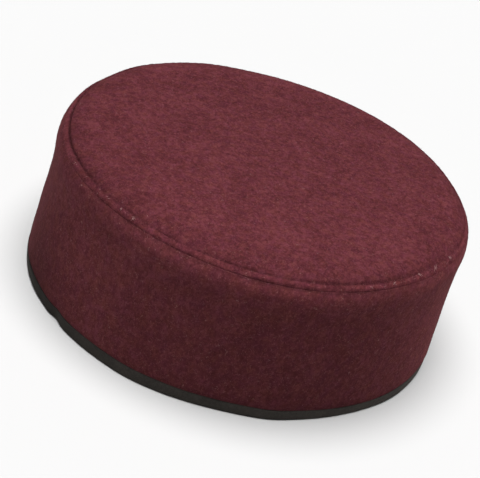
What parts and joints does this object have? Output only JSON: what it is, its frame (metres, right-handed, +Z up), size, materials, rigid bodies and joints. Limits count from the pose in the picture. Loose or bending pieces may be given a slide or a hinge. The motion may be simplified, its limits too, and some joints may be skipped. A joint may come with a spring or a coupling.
{
  "type": "kufi cap",
  "caption": "Brimless oval felt cap with a slightly domed flat top, an upright side band and a narrow dark binding round the open lower edge, worn on the head.",
  "frame": {"origin": "under the middle of the cap, on the surface that its binding rests on", "axes": "+X along the long way of the oval, +Y across it, +Z up through the top"},
  "size_m": [0.2022, 0.1826, 0.0793],
  "materials": {
    "maroon_felt": "napped wool felt, matt, heathered with pale and dark fibres",
    "dark_binding": "charcoal bias binding, matt, fine woven grain"
  },
  "bodies": {
    "root": {"crown_top": "maroon_felt", "side_band": "maroon_felt", "edge_binding": "dark_binding"}
  },
  "joints": []
}
